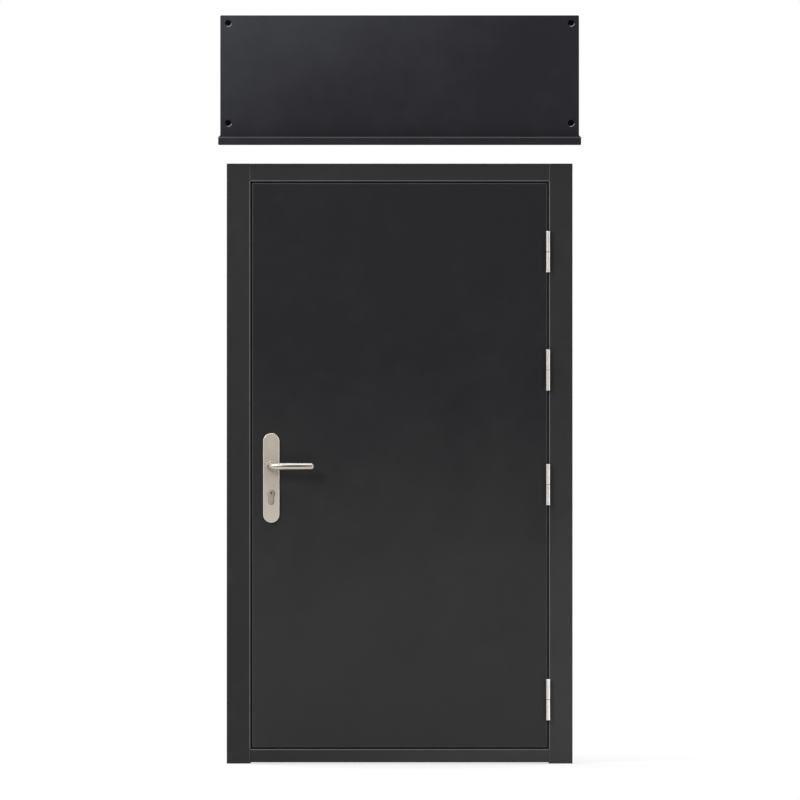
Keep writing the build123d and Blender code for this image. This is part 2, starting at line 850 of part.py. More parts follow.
# Over-panel: a flat sheet, a ledge, a hanging lip, and a pressed cup for each screw

panel_face = Plane(origin=(0, front - panel_sheet, panel_screw_middle), x_dir=(1, 0, 0), z_dir=(0, -1, 0))
cup_radius = cup_diameter / 2
ledge_top = panel_bottom + lip_height + ledge_fall

with BuildPart() as over_panel:
    sheet_line = front - panel_sheet / 2
    lip_line = sheet_line - lip_reach
    with BuildSketch(Plane(origin=(-lip_width / 2, 0, 0), x_dir=(0, 1, 0), z_dir=(1, 0, 0))):
        with BuildLine():
            FilletPolyline(
                (sheet_line, panel_top),
                (sheet_line, ledge_top),
                (lip_line, panel_bottom + lip_height),
                (lip_line, panel_bottom),
                radius=panel_bend - panel_sheet / 2,
            )
        trace(line_width=panel_sheet)
    extrude(amount=lip_width)
    with BuildSketch(Plane.XZ) as outline:
        with BuildLine():
            Polyline(
                (-lip_width / 2, panel_bottom),
                (lip_width / 2, panel_bottom),
                (lip_width / 2, ledge_top),
                (panel_width / 2, ledge_top + lip_side),
                (panel_width / 2, panel_top),
                (-panel_width / 2, panel_top),
                (-panel_width / 2, ledge_top + lip_side),
                (-lip_width / 2, ledge_top),
                close=True,
            )
        make_face()
        fillet(outline.vertices().group_by(Axis.Y)[-1], panel_corner)
        fillet(outline.vertices().group_by(Axis.Y)[0], panel_corner)
    extrude(amount=frame_depth, both=True, mode=Mode.INTERSECT)
    with Locations(panel_face):
        with GridLocations(panel_screw_pitch_x, panel_screw_pitch_z, 2, 2):
            Cylinder(cup_radius + cup_wall, cup_depth + cup_wall, align=from_top)
            Cylinder(cup_radius, cup_depth, align=from_top, mode=Mode.SUBTRACT)
            Cone(cup_radius, cup_radius + cup_rim, cup_rim, align=from_top, mode=Mode.SUBTRACT)
            Cylinder(cup_hole / 2, panel_screw_length, align=from_top, mode=Mode.SUBTRACT)
save(over_panel, "over_panel")

with BuildPart() as over_panel_screws:
    with Locations(panel_face.offset(panel_screw_head_height - cup_depth)):
        with GridLocations(panel_screw_pitch_x, panel_screw_pitch_z, 2, 2):
            Cylinder(panel_screw_head / 2, panel_screw_head_height, align=from_top)
            Cylinder(panel_screw_shank / 2, panel_screw_length, align=from_top)
    with BuildSketch(panel_face.offset(panel_screw_head_height - cup_depth)):
        with GridLocations(panel_screw_pitch_x, panel_screw_pitch_z, 2, 2):
            RegularPolygon(panel_screw_socket / 2, 6, major_radius=False)
    extrude(amount=-socket_depth, mode=Mode.SUBTRACT)
save(over_panel_screws, "over_panel_screws")
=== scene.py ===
# %% [markdown]
# # A steel personnel door for a shipping container
# The solids of the door arrive as a fixed frame: jambs, head and sill folded from sheet, a hollow
# leaf on lift-off hinges, a mortise lock, long lever plates, and a flashing that hangs above.
# This lesson dresses them. Every finish is built from nodes, and the small parts that a folder or a
# locksmith adds last, such as screw recesses and sealing strips, are modelled on top.

# %% Load the frame
import json
import math
import bmesh
import bpy
from mathutils import Matrix, Vector


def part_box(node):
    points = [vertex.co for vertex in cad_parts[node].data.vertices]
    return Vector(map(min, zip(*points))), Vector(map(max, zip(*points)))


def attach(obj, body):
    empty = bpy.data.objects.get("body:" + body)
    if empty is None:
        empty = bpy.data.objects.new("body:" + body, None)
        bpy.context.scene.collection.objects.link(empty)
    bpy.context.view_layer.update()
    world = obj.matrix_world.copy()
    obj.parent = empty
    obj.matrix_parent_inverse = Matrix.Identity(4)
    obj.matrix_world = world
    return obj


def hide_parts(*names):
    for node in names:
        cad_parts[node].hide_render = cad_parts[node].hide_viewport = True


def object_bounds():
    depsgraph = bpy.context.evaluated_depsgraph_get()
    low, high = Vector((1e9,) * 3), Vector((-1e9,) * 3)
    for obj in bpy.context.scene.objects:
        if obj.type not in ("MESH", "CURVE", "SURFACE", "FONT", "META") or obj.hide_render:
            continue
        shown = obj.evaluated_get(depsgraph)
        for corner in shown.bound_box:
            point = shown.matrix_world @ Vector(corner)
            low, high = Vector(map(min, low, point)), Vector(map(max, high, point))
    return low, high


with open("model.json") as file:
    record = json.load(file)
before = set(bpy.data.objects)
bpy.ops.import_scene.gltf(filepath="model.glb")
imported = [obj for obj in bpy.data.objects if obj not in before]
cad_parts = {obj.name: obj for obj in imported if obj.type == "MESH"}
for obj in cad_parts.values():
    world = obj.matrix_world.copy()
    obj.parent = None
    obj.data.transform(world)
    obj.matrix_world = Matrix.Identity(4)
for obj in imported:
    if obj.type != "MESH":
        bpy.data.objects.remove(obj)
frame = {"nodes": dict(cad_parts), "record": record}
nodes = frame["nodes"]
cad_low, cad_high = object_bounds()
MM = 0.001
print("nodes", len(nodes), "box", [round(v, 3) for v in cad_high - cad_low])

# %% [markdown]
# ## Camera
# The picture to match is a plain front view with no convergence at all, as from a very long lens.
# An orthographic camera would do, but a distant long lens gives the same picture and still has
# some depth when the door is looked at from other sides.

# %% Camera
PICTURE_WIDTH = 2666.7 * MM
PICTURE_CENTRE = Vector((1.2 * MM, 0, 1211.8 * MM))
CAMERA_DISTANCE = 40.0
door_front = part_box("outer_skin")[0].y

camera_data = bpy.data.cameras.new("front_camera")
camera_data.sensor_width = 36.0
camera_data.lens = camera_data.sensor_width * CAMERA_DISTANCE / PICTURE_WIDTH
camera_data.clip_end = 4 * CAMERA_DISTANCE
camera = bpy.data.objects.new("front_camera", camera_data)
camera.location = (PICTURE_CENTRE.x, door_front - CAMERA_DISTANCE, PICTURE_CENTRE.z)
camera.rotation_euler = (math.radians(90), 0, 0)
bpy.context.scene.collection.objects.link(camera)
bpy.context.scene.camera = camera
bpy.context.scene.view_settings.view_transform = "Standard"
print("lens", round(camera_data.lens))

# %% [markdown]
# ## Three small helpers
# Colours are written as the hex values a painter would read off a screen, so one function turns
# them into the linear light that the shader works in. A second function adds a node, with its
# settings, its numbers and its links in one go, which keeps the materials short enough to read.
# A third starts a material and hands over what every finish needs.

# %% Colour, node and material helpers
def linear(hex_code):
    """Linear RGBA of an sRGB hex colour."""
    channels = [int(hex_code[i:i + 2], 16) / 255 for i in (1, 3, 5)]
    return [c / 12.92 if c <= 0.04045 else ((c + 0.055) / 1.055) ** 2.4 for c in channels] + [1.0]


def add_node(tree, kind, sockets=(), **settings):
    """New node: settings are its own properties, sockets a dict of numbers or links by input."""
    made = tree.nodes.new(kind)
    for name, value in settings.items():
        setattr(made, name, value)
    for name, value in dict(sockets).items():
        if isinstance(value, bpy.types.NodeSocket):
            tree.links.new(value, made.inputs[name])
        else:
            made.inputs[name].default_value = value
    return made


def new_material(name):
    """Empty material with its tree, its shader and the object's own coordinates."""
    material = bpy.data.materials.new(name)
    material.use_nodes = True
    tree = material.node_tree
    shader = tree.nodes["Principled BSDF"]
    place = add_node(tree, "ShaderNodeTexCoord").outputs["Object"]
    return material, tree, shader, place


WHITE = linear("#ffffff")
print("white in linear light", WHITE[:3])

# %% [markdown]
# ## World
# A product picture is taken in a white tent. The world stands for the tent: white where the camera
# looks and where polished metal mirrors it, and dimmer as a source of light, so that the door keeps
# its own dark tone. Lamps bright enough to bleach the background would also bleach the door, so the
# rays are told apart instead.

# %% World
WORLD_LIGHT = 0.3


def looking_rays(tree):
    """1 for camera, glossy and transmission rays, 0 for those that carry light."""
    rays = add_node(tree, "ShaderNodeLightPath").outputs
    seen = rays["Is Camera Ray"]
    for name in ("Is Glossy Ray", "Is Transmission Ray"):
        seen = add_node(tree, "ShaderNodeMath", {0: seen, 1: rays[name]},
                        operation="MAXIMUM").outputs[0]
    return seen


world = bpy.data.worlds.new("white_studio")
world.use_nodes = True
bpy.context.scene.world = world
sky = world.node_tree
sky.nodes.clear()
seen = looking_rays(sky)
white = add_node(sky, "ShaderNodeBackground", {"Color": WHITE, "Strength": 1.0}).outputs[0]
dim = add_node(sky, "ShaderNodeBackground", {"Color": WHITE, "Strength": WORLD_LIGHT}).outputs[0]
either = add_node(sky, "ShaderNodeMixShader", {0: seen, 1: dim, 2: white}).outputs[0]
add_node(sky, "ShaderNodeOutputWorld", {"Surface": either})
print("world light", WORLD_LIGHT)

# %% [markdown]
# ## Floor
# The door stands on a sheet of white paper. Paper alone renders light grey under soft lamps, so the
# sheet fades into white with distance, and close to the door it keeps enough of its own shading to
# show a shadow.

# %% Floor
FLOOR_HALF = 30.0
FLOOR_CLEAR = 0.5 * MM
FADE_START = 0.6
FADE_END = 2.0
GLOW_AT_DOOR = 0.6
floor_height = cad_low.z - FLOOR_CLEAR

floor_mesh = bpy.data.meshes.new("studio_floor")
shape = bmesh.new()
bmesh.ops.create_grid(shape, x_segments=1, y_segments=1, size=FLOOR_HALF)
bmesh.ops.translate(shape, verts=shape.verts, vec=(0, 0, floor_height))
shape.to_mesh(floor_mesh)
shape.free()
floor = bpy.data.objects.new("studio_floor", floor_mesh)
bpy.context.scene.collection.objects.link(floor)
print("floor at", round(floor_height, 4))

# %% Paper of the floor
# White paper: quite without shine, so the only thing on it is the door's soft shadow.
paper, tree, shader, place = new_material("white_studio_paper")
shader.inputs["Base Color"].default_value = linear("#f4f4f4")
shader.inputs["Roughness"].default_value = 0.9
shader.inputs["Specular IOR Level"].default_value = 0.0
distance = add_node(tree, "ShaderNodeVectorMath", {0: place}, operation="LENGTH").outputs["Value"]
fade = add_node(tree, "ShaderNodeMapRange",
                {"Value": distance, "From Min": FADE_START, "From Max": FADE_END,
                 "To Min": GLOW_AT_DOOR},
                interpolation_type="SMOOTHSTEP").outputs["Result"]
fade = add_node(tree, "ShaderNodeMath", {0: fade, 1: looking_rays(tree)},
                operation="MULTIPLY").outputs[0]
glow = add_node(tree, "ShaderNodeEmission", {"Color": WHITE, "Strength": 1.0}).outputs[0]
both = add_node(tree, "ShaderNodeMixShader", {0: fade, 1: shader.outputs[0], 2: glow}).outputs[0]
tree.links.new(both, tree.nodes["Material Output"].inputs["Surface"])
floor_mesh.materials.append(paper)
print("paper", paper.name, "is white from", FADE_END)

# %% [markdown]
# ## Dark cards
# A photographer hangs dark cards opposite shiny work: flat faces then mirror the card and stay deep
# in tone, and only the bends and round bars catch the light. The same cards hang here, one in front
# and one behind. Neither the camera nor the lamps see them.

# %% Dark cards
CARD_DISTANCE = 4.0
CARD_WIDTH = 5.0
CARD_HEIGHT = 3.6
CARD_MIDDLE = 1.3


def hang_card(name, y):
    """Upright dark card, before or behind the door, that only reflections see."""
    mesh = bpy.data.meshes.new(name)
    sheet = bmesh.new()
    bmesh.ops.create_grid(sheet, x_segments=1, y_segments=1, size=0.5)
    bmesh.ops.scale(sheet, verts=sheet.verts, vec=(CARD_WIDTH, CARD_HEIGHT, 1))
    bmesh.ops.rotate(sheet, verts=sheet.verts, matrix=Matrix.Rotation(math.radians(90), 3, "X"))
    bmesh.ops.translate(sheet, verts=sheet.verts, vec=(0, y, CARD_MIDDLE))
    sheet.to_mesh(mesh)
    sheet.free()
    card = bpy.data.objects.new(name, mesh)
    bpy.context.scene.collection.objects.link(card)
    # Felt: black-grey and without any shine.
    felt, _, felt_shader, _ = new_material(name + "_felt")
    felt_shader.inputs["Base Color"].default_value = linear("#202020")
    felt_shader.inputs["Roughness"].default_value = 1.0
    mesh.materials.append(felt)
    card.visible_camera = False
    card.visible_diffuse = False
    card.visible_shadow = False
    card.visible_transmission = False


hang_card("front_card", -CARD_DISTANCE)
hang_card("back_card", CARD_DISTANCE)
print("cards at", CARD_DISTANCE)

# %% [markdown]
# ## Lamps
# The main lamp stands high on the left, as the light edges in the picture tell. A weaker one on the
# right opens the shadows, one hangs above, and two more stand behind, so that the inside of the
# door can be looked at too.

# %% Lamps
def hang_lamp(name, place_at, aim, size, watts):
    """Soft square lamp turned towards a point."""
    lamp_data = bpy.data.lights.new(name, "AREA")
    lamp_data.size = size
    lamp_data.energy = watts
    lamp = bpy.data.objects.new(name, lamp_data)
    lamp.location = place_at
    lamp.rotation_euler = (Vector(aim) - Vector(place_at)).to_track_quat("-Z", "Y").to_euler()
    bpy.context.scene.collection.objects.link(lamp)


hang_lamp("key_upper_left", (-3.4, -3.6, 4.2), aim=(0, 0, 1.3), size=2.2, watts=180)
hang_lamp("fill_right", (3.8, -3.4, 1.4), aim=(0, 0, 1.1), size=2.4, watts=55)
hang_lamp("top", (0, -0.6, 5.4), aim=(0, 0, 0), size=3.0, watts=125)
hang_lamp("back_left", (-3.2, 3.8, 3.2), aim=(0, 0, 1.2), size=2.4, watts=150)
hang_lamp("back_right", (3.4, 3.6, 2.2), aim=(0, 0, 1.2), size=2.4, watts=110)
print("lamps", len(bpy.data.lights))

# %% [markdown]
# ## Where the folds are
# Every fold of such a door catches the light as a thin light line that runs round every opening.
# Here that line is a painted highlight in the coat's colour. The line could be painted by hand in a
# map, but its place is known: it follows the edge of an upright rectangle. A few vector nodes give
# the distance from that edge, and a narrow band of it is the painted highlight. The same trick with
# a round distance finds the rims of the pressed cups in the flashing, for their painted highlight.

# %% Distances from known edges
SOFT_CORNER = 4.5 * MM
NO_DEPTH = (1, 0, 1)


def from_rectangle(tree, place, half_width, half_height, middle):
    """Metres outwards from an upright rectangle with soft corners; inside, down to -SOFT_CORNER."""
    centred = add_node(tree, "ShaderNodeVectorMath", {0: place, 1: (0, 0, middle)},
                       operation="SUBTRACT").outputs[0]
    one_corner = add_node(tree, "ShaderNodeVectorMath", {0: centred},
                          operation="ABSOLUTE").outputs[0]
    inner = (half_width - SOFT_CORNER, 0, half_height - SOFT_CORNER)
    past = add_node(tree, "ShaderNodeVectorMath", {0: one_corner, 1: inner},
                    operation="SUBTRACT").outputs[0]
    past = add_node(tree, "ShaderNodeVectorMath", {0: past, 1: (0, 0, 0)},
                    operation="MAXIMUM").outputs[0]
    flat = add_node(tree, "ShaderNodeVectorMath", {0: past, 1: NO_DEPTH},
                    operation="MULTIPLY").outputs[0]
    reach = add_node(tree, "ShaderNodeVectorMath", {0: flat}, operation="LENGTH").outputs["Value"]
    return add_node(tree, "ShaderNodeMath", {0: reach, 1: SOFT_CORNER},
                    operation="SUBTRACT").outputs[0]


def from_corners(tree, place, half_width, half_height, middle):
    """Offset from the nearest corner of an upright rectangle, across and up, in metres."""
    centred = add_node(tree, "ShaderNodeVectorMath", {0: place, 1: (0, 0, middle)},
                       operation="SUBTRACT").outputs[0]
    which = add_node(tree, "ShaderNodeVectorMath", {0: centred}, operation="SIGN").outputs[0]
    corner = add_node(tree, "ShaderNodeVectorMath", {0: which, 1: (half_width, 0, half_height)},
                      operation="MULTIPLY").outputs[0]
    past = add_node(tree, "ShaderNodeVectorMath", {0: centred, 1: corner},
                    operation="SUBTRACT").outputs[0]
    return add_node(tree, "ShaderNodeVectorMath", {0: past, 1: NO_DEPTH},
                    operation="MULTIPLY").outputs[0]


print("corners softened by", round(SOFT_CORNER / MM, 1), "mm")

# %% Bands and slopes
FRONT_ONLY = -15 * MM
SOFT_EDGE = 0.5 * MM


def band(tree, place, distance, low, high):
    """1 between two distances on the front of the door, with soft edges, else 0."""
    above = add_node(tree, "ShaderNodeMapRange",
                     {"Value": distance, "From Min": low - SOFT_EDGE,
                      "From Max": low + SOFT_EDGE}).outputs["Result"]
    below = add_node(tree, "ShaderNodeMapRange",
                     {"Value": distance, "From Min": high + SOFT_EDGE,
                      "From Max": high - SOFT_EDGE}).outputs["Result"]
    depth = add_node(tree, "ShaderNodeSeparateXYZ", {0: place}).outputs["Y"]
    ahead = add_node(tree, "ShaderNodeMath", {0: depth, 1: FRONT_ONLY},
                     operation="LESS_THAN").outputs[0]
    both = add_node(tree, "ShaderNodeMath", {0: above, 1: below}, operation="MULTIPLY").outputs[0]
    return add_node(tree, "ShaderNodeMath", {0: both, 1: ahead}, operation="MULTIPLY").outputs[0]


def rising(axis, start, end):
    """Maker of a mask that rises from 0 to 1 between two places along X, Y or Z."""
    def where(tree, place):
        value = add_node(tree, "ShaderNodeSeparateXYZ", {0: place}).outputs[axis]
        return add_node(tree, "ShaderNodeMapRange",
                        {"Value": value, "From Min": start, "From Max": end}).outputs["Result"]
    return where


print("lines are drawn ahead of", round(FRONT_ONLY / MM), "mm")

# %% Measure the leaf, the cups and the flashing
LEAF_GAP = 4 * MM
SCREW_HEAD = 9.5 * MM
LIP_HEIGHT = 26 * MM
leaf_low, leaf_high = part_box("outer_skin")
leaf_half_width = (leaf_high.x - leaf_low.x) / 2
leaf_half_height = (leaf_high.z - leaf_low.z) / 2
leaf_middle = (leaf_high.z + leaf_low.z) / 2
screw_low, screw_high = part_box("over_panel_screws")
cup_half_width = screw_high.x - SCREW_HEAD
cup_half_height = (screw_high.z - screw_low.z) / 2 - SCREW_HEAD
cup_middle = (screw_high.z + screw_low.z) / 2
panel_low, panel_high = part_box("over_panel")
print("leaf", round(2 * leaf_half_width, 3), round(2 * leaf_half_height, 3),
      "cups", round(2 * cup_half_width, 4))

# %% [markdown]
# ## Powder coat
# The frame, the leaf and the flashing are steel sheet with an anthracite powder coat. The powder
# melts into a matt skin with a very fine orange peel, and a large sheet never comes out of the oven
# quite even: it has soft clouds a hand's span wide. Over them lies painted light, a gradient from
# dark to light along a direction in the object's own space, in place of the fall of light across
# the sheet. The peel is about 2 mm across on a real sheet and too fine to show, so it is drawn at
# 6 mm. Dust lies on the level tops and takes their sheen.

# %% Powder coat
CLOUD = 260 * MM
MOTTLE = 45 * MM
MOTTLE_SHARE = 0.35
NOISE_SPREAD = (0.35, 0.65)
UNEVEN = 0.16
PEEL = 6 * MM
PEEL_HEIGHT = 0.2 * MM
PEEL_STRENGTH = 0.05
COAT_ROUGH = (0.42, 0.54)
COAT_SHEEN = 0.1
DUST_ROUGH = 0.9
DUST_STARTS = 1.5 * MM
DUST_FULL = 0.5 * MM


def powder_coat(name, dark, light, painted_light_along, painted_light_from, painted_light_to, top, lines):
    """Matt anthracite skin with painted light grading it from dark to light, dusty on top; a line
    is a painted highlight, given as a mask's maker and a colour."""
    material, tree, shader, place = new_material(name)
    clouds = add_node(tree, "ShaderNodeTexNoise",
                      {"Vector": place, "Scale": 1 / CLOUD, "Detail": 3.0,
                       "Roughness": 0.55}).outputs["Fac"]
    mottle = add_node(tree, "ShaderNodeTexNoise",
                      {"Vector": place, "Scale": 1 / MOTTLE, "Detail": 4.0,
                       "Roughness": 0.6}).outputs["Fac"]
    # Painted light: the colour grades from dark to light along a direction, in place of the fall of
    # light across the sheet.
    along = add_node(tree, "ShaderNodeVectorMath", {0: place, 1: painted_light_along},
                     operation="DOT_PRODUCT").outputs["Value"]
    painted_light = add_node(tree, "ShaderNodeMapRange",
                     {"Value": along, "From Min": painted_light_from, "From Max": painted_light_to},
                     interpolation_type="SMOOTHSTEP").outputs["Result"]
    uneven = add_node(tree, "ShaderNodeMix", {0: MOTTLE_SHARE, 2: clouds, 3: mottle},
                      data_type="FLOAT").outputs[0]
    uneven = add_node(tree, "ShaderNodeMapRange",
                      {"Value": uneven, "From Min": NOISE_SPREAD[0], "From Max": NOISE_SPREAD[1],
                       "To Min": -UNEVEN, "To Max": UNEVEN}).outputs["Result"]
    shade = add_node(tree, "ShaderNodeMath", {0: painted_light, 1: uneven},
                     operation="ADD", use_clamp=True).outputs[0]
    colour = add_node(tree, "ShaderNodeMix", {0: shade, 6: linear(dark), 7: linear(light)},
                      data_type="RGBA").outputs[2]
    # Each line is a painted highlight: a lighter tone mixed in along a bend.
    for where, line_colour in lines:
        mask = where(tree, place)
        colour = add_node(tree, "ShaderNodeMix", {0: mask, 6: colour, 7: linear(line_colour)},
                          data_type="RGBA").outputs[2]
    tree.links.new(colour, shader.inputs["Base Color"])
    rough = add_node(tree, "ShaderNodeMapRange",
                     {"Value": mottle, "To Min": COAT_ROUGH[0],
                      "To Max": COAT_ROUGH[1]}).outputs["Result"]
    dust = rising("Z", top - DUST_STARTS, top - DUST_FULL)(tree, place)
    rough = add_node(tree, "ShaderNodeMix", {0: dust, 2: rough, 3: DUST_ROUGH},
                     data_type="FLOAT").outputs[0]
    tree.links.new(rough, shader.inputs["Roughness"])
    sheen = add_node(tree, "ShaderNodeMapRange",
                     {"Value": dust, "To Min": COAT_SHEEN, "To Max": 0.0}).outputs["Result"]
    tree.links.new(sheen, shader.inputs["Specular IOR Level"])
    peel = add_node(tree, "ShaderNodeTexNoise",
                    {"Vector": place, "Scale": 1 / PEEL, "Detail": 2.0}).outputs["Fac"]
    bump = add_node(tree, "ShaderNodeBump",
                    {"Height": peel, "Strength": PEEL_STRENGTH,
                     "Distance": PEEL_HEIGHT}).outputs[0]
    tree.links.new(bump, shader.inputs["Normal"])
    shader.inputs["IOR"].default_value = 1.5
    return material


print("coat with clouds of", round(CLOUD / MM), "mm and a peel of", round(PEEL / MM), "mm")

# %% [markdown]
# ## Painted highlights on the coats
# Each painted highlight is a band at a known place: along the leaf's edge, along the frame's edge
# opposite, up the jambs where the head and the sill butt against them, round the lit side of each
# cup, and along the bend above the flashing's lip.

# %% Painted highlights on the leaf and the frame
EDGE_LINE = (0.9 * MM, 4.0 * MM)
SEAM_LINE = (0.6 * MM, 3.4 * MM)


def leaf_edge_highlight(tree, place):
    """Painted highlight along the leaf's bent edge."""
    distance = from_rectangle(tree, place, leaf_half_width, leaf_half_height, leaf_middle)
    return band(tree, place, distance, -EDGE_LINE[1], -EDGE_LINE[0])


def frame_edge_highlight(tree, place):
    """Painted highlight along the bend of the frame towards the leaf."""
    distance = from_rectangle(tree, place, leaf_half_width + LEAF_GAP,
                              leaf_half_height + LEAF_GAP, leaf_middle)
    return band(tree, place, distance, *EDGE_LINE)


def jamb_seam_highlight(tree, place):
    """Painted highlight along the jambs' bend where the head and the sill butt against it."""
    across = add_node(tree, "ShaderNodeSeparateXYZ", {0: place}).outputs["X"]
    across = add_node(tree, "ShaderNodeMath", {0: across}, operation="ABSOLUTE").outputs[0]
    past = add_node(tree, "ShaderNodeMath", {0: across, 1: leaf_half_width + LEAF_GAP},
                    operation="SUBTRACT").outputs[0]
    return band(tree, place, past, *SEAM_LINE)


print("edge line in mm", [round(v / MM, 1) for v in EDGE_LINE],
      "seam line", [round(v / MM, 1) for v in SEAM_LINE])

# %% Painted highlights on the flashing
CUP_RIM = (9.9 * MM, 11.9 * MM)
CUP_LIT_TOWARDS = (0.5, 0, -0.87)
CUP_LIT = (5 * MM, 9 * MM)
BEND_BELOW = 2.4 * MM
BEND_ABOVE = 0.6 * MM


def cup_rim_highlight(tree, place):
    """Painted highlight on the lower right of each cup's rim, which faces the light."""
    offset = from_corners(tree, place, cup_half_width, cup_half_height, cup_middle)
    distance = add_node(tree, "ShaderNodeVectorMath", {0: offset},
                        operation="LENGTH").outputs["Value"]
    lean = add_node(tree, "ShaderNodeVectorMath", {0: offset, 1: CUP_LIT_TOWARDS},
                    operation="DOT_PRODUCT").outputs["Value"]
    lower_right = add_node(tree, "ShaderNodeMapRange",
                           {"Value": lean, "From Min": CUP_LIT[0],
                            "From Max": CUP_LIT[1]}).outputs["Result"]
    rim = band(tree, place, distance, *CUP_RIM)
    return add_node(tree, "ShaderNodeMath", {0: rim, 1: lower_right},
                    operation="MULTIPLY").outputs[0]


def ledge_bend_highlight(tree, place):
    """Painted highlight along the bend between the flashing's ledge and its lip."""
    height = add_node(tree, "ShaderNodeSeparateXYZ", {0: place}).outputs["Z"]
    bend_top = panel_low.z + LIP_HEIGHT
    return band(tree, place, height, bend_top - BEND_BELOW, bend_top + BEND_ABOVE)


print("cup rim in mm", [round(v / MM, 1) for v in CUP_RIM],
      "bend at", round((panel_low.z + LIP_HEIGHT) / MM, 1))

# %% The three coats
# Powder coat on the leaf: deep and matt, so the eye reads one calm sheet, with painted light that
# lightens it towards the floor and a painted highlight along its edge.
leaf_coat = powder_coat("anthracite_powder_coat_leaf", "#212123", "#303031",
                        painted_light_along=(0, 0, -1), painted_light_from=-1.5, painted_light_to=-0.3,
                        top=leaf_high.z, lines=[(leaf_edge_highlight, "#3b3b3e")])
# Powder coat on the frame: a shade lighter than the leaf, with painted light that lightens it
# towards the lower right and a painted highlight that draws every bend.
frame_coat = powder_coat("anthracite_powder_coat_frame", "#2b2b2c", "#39393a",
                         painted_light_along=(0.5, 0, -0.5), painted_light_from=-0.45, painted_light_to=0.25,
                         top=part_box("head")[1].z,
                         lines=[(jamb_seam_highlight, "#4a4a4d"), (frame_edge_highlight, "#5e5e62")])
# Powder coat on the flashing: cooler and bluer, with painted light from its upper left corner down
# to a dark lower right, and painted highlights on the cups' rims and along the ledge's bend.
panel_coat = powder_coat("anthracite_powder_coat_flashing", "#212125", "#333438",
                         painted_light_along=(-0.45, 0, 1.0), painted_light_from=2.12, painted_light_to=2.85,
                         top=panel_high.z,
                         lines=[(cup_rim_highlight, "#94949a"), (ledge_bend_highlight, "#404045")])
print("coats", leaf_coat.name, frame_coat.name, panel_coat.name)

# %% [markdown]
# ## Brushed and plated metals
# The lever plates are stainless steel, brushed along their length with a fine belt, so the
# scratches run up and down and the light smears sideways. A noise squeezed thin across the grain
# draws them. Real scratches are a tenth of a millimetre wide and wouldn't show, so they are drawn
# about a millimetre wide. Some places of a metal differ: the neck of a lever is satin and a keyway
# is dark with graphite and painted shade, while other places carry painted light: a painted
# highlight on a plate's rim and the knuckles, and painted reflections on a lever, a plate and the
# hinges. Such a place is a mask, with a colour and a roughness of its own that are mixed in. The
# metals without such places are made first.

# %% Maker of brushed metals
BLOTCH_SHARE = 0.4
SCRATCH_STEPS = (0.36, 0.66)
SCRATCH_DEPTH = 0.1 * MM


def brushed_metal(name, dark, light, rough, grain_mm, length_mm, grain_axis,
                  blotch_mm=40, relief=0.12, worn=()):
    """Metal with scratches along X, Y or Z; a place of wear or painted light is a mask's maker,
    colour, roughness.
    """
    material, tree, shader, place = new_material(name)
    scale = [1 / (grain_mm * MM)] * 3
    scale["XYZ".index(grain_axis)] = 1 / (length_mm * MM)
    squeezed = add_node(tree, "ShaderNodeMapping", {"Vector": place, "Scale": scale}).outputs[0]
    scratch = add_node(tree, "ShaderNodeTexNoise",
                       {"Vector": squeezed, "Scale": 1.0, "Detail": 3.0,
                        "Roughness": 0.65}).outputs["Fac"]
    blotch = add_node(tree, "ShaderNodeTexNoise",
                      {"Vector": place, "Scale": 1 / (blotch_mm * MM),
                       "Detail": 2.0}).outputs["Fac"]
    blend = add_node(tree, "ShaderNodeMix", {0: BLOTCH_SHARE, 2: scratch, 3: blotch},
                     data_type="FLOAT").outputs[0]
    steps = add_node(tree, "ShaderNodeValToRGB", {"Fac": blend})
    for step, position, tone in zip(steps.color_ramp.elements, SCRATCH_STEPS, (dark, light)):
        step.position = position
        step.color = linear(tone)
    colour = steps.outputs["Color"]
    dull = add_node(tree, "ShaderNodeMapRange",
                    {"Value": scratch, "To Min": rough - relief / 2,
                     "To Max": rough + relief / 2}).outputs["Result"]
    # A place of wear or of painted light mixes in its own colour and roughness.
    for where, wear_and_light_colour, wear_and_light_rough in worn:
        mask = where(tree, place)
        colour = add_node(tree, "ShaderNodeMix", {0: mask, 6: colour, 7: linear(wear_and_light_colour)},
                          data_type="RGBA").outputs[2]
        dull = add_node(tree, "ShaderNodeMix", {0: mask, 2: dull, 3: wear_and_light_rough},
                        data_type="FLOAT").outputs[0]
    tree.links.new(colour, shader.inputs["Base Color"])
    tree.links.new(dull, shader.inputs["Roughness"])
    bump = add_node(tree, "ShaderNodeBump",
                    {"Height": scratch, "Strength": relief, "Distance": SCRATCH_DEPTH}).outputs[0]
    tree.links.new(bump, shader.inputs["Normal"])
    shader.inputs["Metallic"].default_value = 1.0
    return material


print("scratches as deep as", round(SCRATCH_DEPTH / MM, 1), "mm")

# %% Metals without worn places
# Turned stainless ring: dull and a tone darker than the plate, so the grip stands out from it.
ring_steel = brushed_metal("stainless_steel_turned_ring", "#a89f94", "#b8afa4", rough=0.5,
                           grain_mm=1.0, length_mm=12, grain_axis="Y")
# Satin stainless lock front: plain and a little grey, so that the latch and the bolt stand out.
lock_steel = brushed_metal("stainless_steel_satin_lock_front", "#a39d95", "#b4aea6", rough=0.42,
                           grain_mm=1.0, length_mm=60, grain_axis="Z")
# Dull zinc plate: cool and cloudy, a working metal that is out of sight when the door is shut.
zinc = brushed_metal("dull_zinc_plate", "#9a9c9e", "#b9bbbd", rough=0.45,
                     grain_mm=4.0, length_mm=6, grain_axis="Z", blotch_mm=18)
# Bright zinc on screws: small cool glints.
bolt_steel = brushed_metal("bright_zinc_screw_steel", "#a9aaa8", "#c8c9c7", rough=0.32,
                           grain_mm=0.8, length_mm=6, grain_axis="Z", blotch_mm=10)
print("even metals", [metal.name for metal in (ring_steel, lock_steel, zinc, bolt_steel)])

